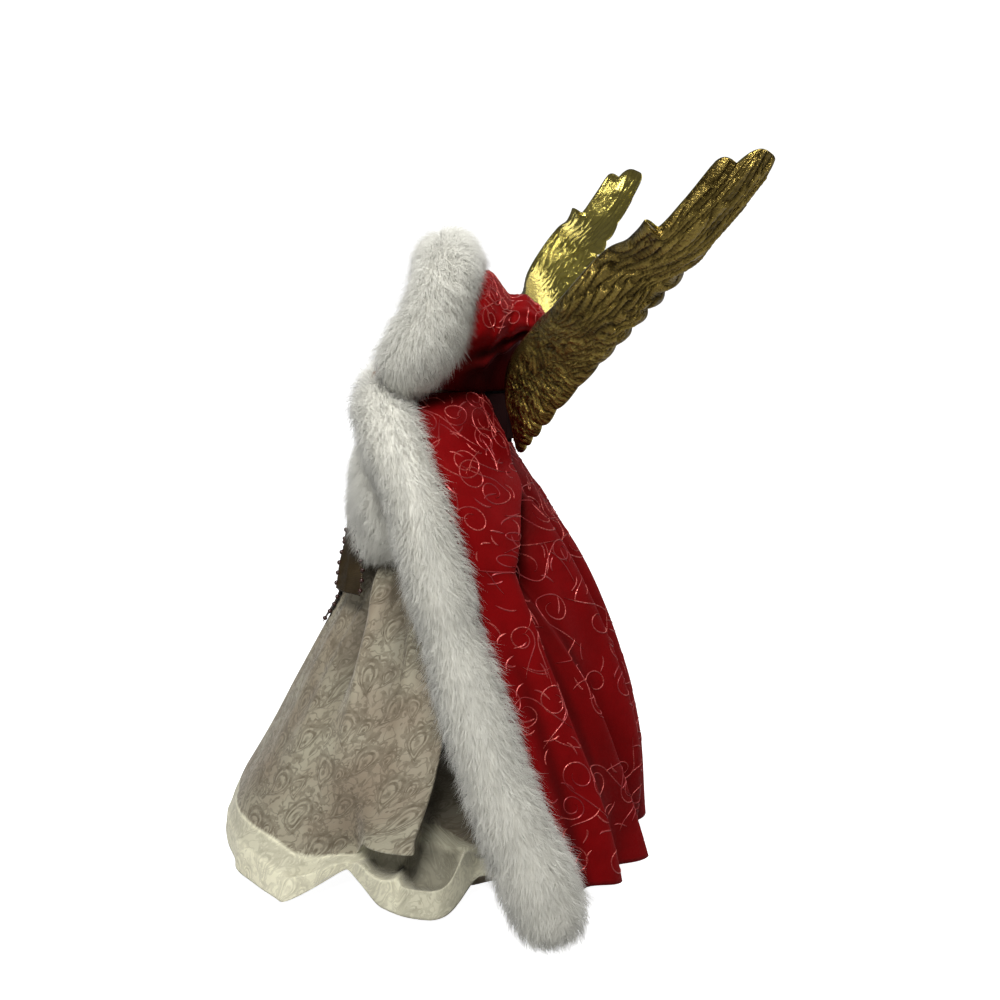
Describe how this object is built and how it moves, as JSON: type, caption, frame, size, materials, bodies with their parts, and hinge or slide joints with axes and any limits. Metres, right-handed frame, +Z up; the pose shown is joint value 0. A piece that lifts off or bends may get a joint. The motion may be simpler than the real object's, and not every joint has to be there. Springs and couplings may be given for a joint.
{
  "type": "angel figurine",
  "caption": "Hooded fabric angel on a hollow cone, with fur-trimmed velvet cape, folded brocade gown, muff, ribbon and hinged moulded wings; stands or sits over a tree tip.",
  "frame": {"origin": "middle of the footprint box on the surface the cone stands on", "axes": "+Z up, the figure faces -Y, its left side is +X"},
  "size_m": [0.309, 0.2046, 0.3045],
  "materials": {
    "card": "plain moulded cone, unseen in use",
    "body": "moulded body, unseen in use",
    "skin": "matt painted doll's head",
    "hair": "auburn fibre wig",
    "steel": "plain wire and pins",
    "bracket": "dark red moulded bracket",
    "gold": "metallised antique gold",
    "brocade": "champagne brocade with tone-on-tone paisley",
    "fur": "white plush pile",
    "ribbon": "gold ribbon with beaded edges",
    "velvet": "red velvet with glitter scrolls"
  },
  "bodies": {
    "figure": {"support_cone": "card", "torso": "body", "arm_wire": "steel", "head": "skin", "hair": "hair", "wing_bracket": "bracket", "bracket_screw_lower": "steel", "bracket_screw_upper": "steel", "hinge_pin_left": "steel", "hinge_pin_right": "steel", "bodice": "brocade", "sleeve_left": "brocade", "sleeve_right": "brocade", "skirt": "brocade", "hem_wire": "steel", "muff": "fur", "ribbon_knot": "ribbon", "ribbon_tail_left": "ribbon", "ribbon_tail_right": "ribbon", "cape": "velvet", "hood": "velvet", "hood_fur": "fur", "cape_fur_left": "fur", "cape_fur_right": "fur"},
    "left_wing": {"wing_left": "gold"},
    "right_wing": {"wing_right": "gold"}
  },
  "joints": [
    {"name": "left_wing_hinge", "type": "hinge", "parent": "figure", "child": "left_wing", "pos_m": [0.0085, 0.03619, 0.205], "axis": [0, 0, 1], "range_deg": [-8, 35]},
    {"name": "right_wing_hinge", "type": "hinge", "parent": "figure", "child": "right_wing", "pos_m": [-0.0085, 0.03619, 0.205], "axis": [0, 0, -1], "range_deg": [-8, 35]}
  ]
}
